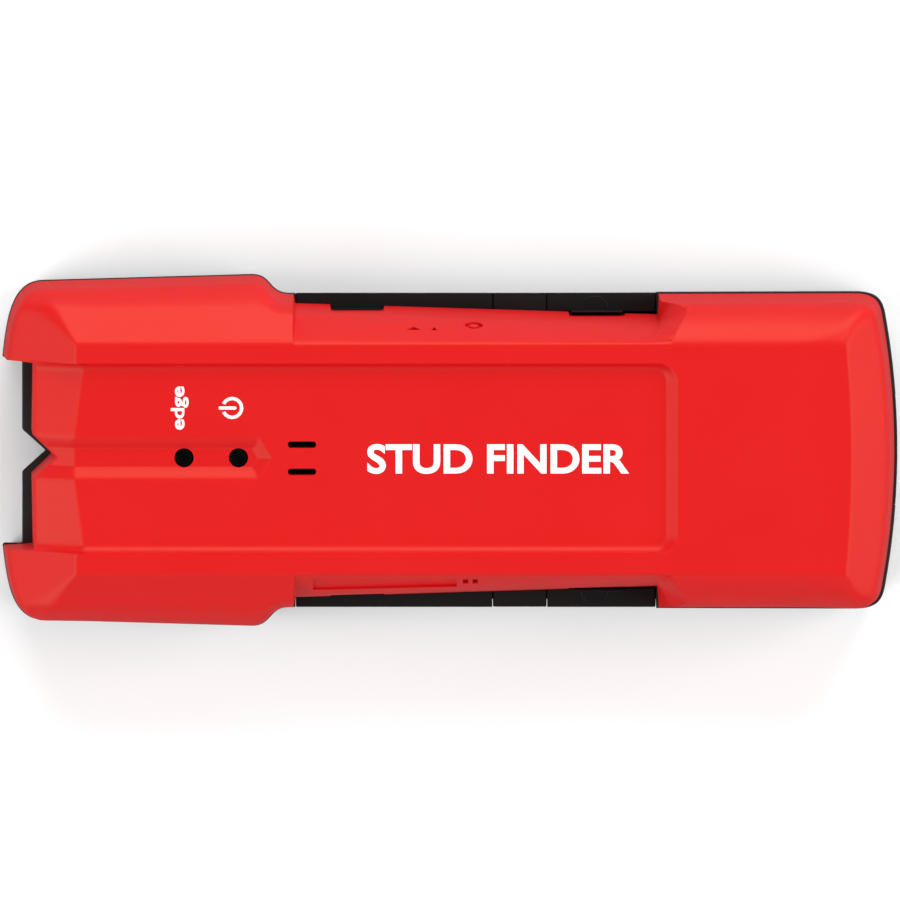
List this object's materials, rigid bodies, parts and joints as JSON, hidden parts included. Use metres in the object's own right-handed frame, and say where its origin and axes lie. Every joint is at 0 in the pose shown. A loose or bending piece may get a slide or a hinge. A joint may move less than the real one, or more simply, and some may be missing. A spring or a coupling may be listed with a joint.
{
  "type": "stud finder",
  "caption": "Hand-held stud finder with a notched flat scan face, side power keys, indicator lights, sounder slots and a sliding battery door.",
  "frame": {"origin": "middle of the flat scan face, below the centre of the overall box", "axes": "+X from the marking notch towards the battery end, +Z out of the scan face through the top housing, +Y to the right of a user who looks along -X"},
  "size_m": [0.1585, 0.0624, 0.033],
  "materials": {
    "red_plastic": "fine-textured moulded plastic",
    "black_plastic": "fine-textured moulded plastic",
    "soft_black": "matte soft-touch",
    "green_board": "solder-masked fibreglass",
    "copper": "bare copper foil",
    "white_nylon": "moulded nylon",
    "edge_diode": "clear red epoxy",
    "power_diode": "clear green epoxy",
    "smoked_lens": "dark tinted acrylic",
    "brass": "brushed",
    "chip_epoxy": "moulded epoxy",
    "steel": "zinc plated",
    "blue_sleeve": "shrink sleeve",
    "resistor_body": "lacquered",
    "red_lead": "flexible insulation",
    "black_lead": "flexible insulation",
    "battery_wrap": "printed metal jacket",
    "grey_foam": "closed-cell foam"
  },
  "bodies": {
    "case": {"top_housing": "red_plastic", "base_housing": "black_plastic", "side_grip_right": "soft_black", "side_grip_left": "soft_black", "circuit_board": "green_board", "sensor_plate_right": "copper", "sensor_plate_left": "copper", "switch_right": "black_plastic", "switch_left": "black_plastic", "edge_diode": "edge_diode", "power_diode": "power_diode", "edge_light_pipe": "smoked_lens", "power_light_pipe": "smoked_lens", "sounder_case": "black_plastic", "sounder_disc": "brass", "controller_chip": "chip_epoxy", "crystal": "steel", "storage_capacitor": "blue_sleeve", "voltage_regulator": "chip_epoxy", "resistor_1": "resistor_body", "resistor_2": "resistor_body", "resistor_3": "resistor_body", "lead_red": "red_lead", "lead_black": "black_lead", "battery_case": "battery_wrap", "battery_stud_positive": "steel", "battery_stud_negative": "steel", "snap_connector": "soft_black", "case_screw_1": "steel", "case_screw_2": "steel", "case_screw_3": "steel", "case_screw_4": "steel", "board_screw_1": "steel", "board_screw_2": "steel"},
    "key_right": {"power_key_right": "soft_black", "switch_plunger_right": "white_nylon"},
    "key_left": {"power_key_left": "soft_black", "switch_plunger_left": "white_nylon"},
    "door": {"battery_door": "black_plastic", "battery_foam": "grey_foam"}
  },
  "joints": [
    {"name": "key_right_press", "type": "slide", "parent": "case", "child": "key_right", "axis": [0, -1, 0], "range_m": [0, 0.0006], "stiffness_N_per_m": 900},
    {"name": "key_left_press", "type": "slide", "parent": "case", "child": "key_left", "axis": [0, 1, 0], "range_m": [0, 0.0006], "stiffness_N_per_m": 900},
    {"name": "battery_door_slide", "type": "slide", "parent": "case", "child": "door", "axis": [1, 0, 0], "range_m": [0, 0.014]}
  ]
}
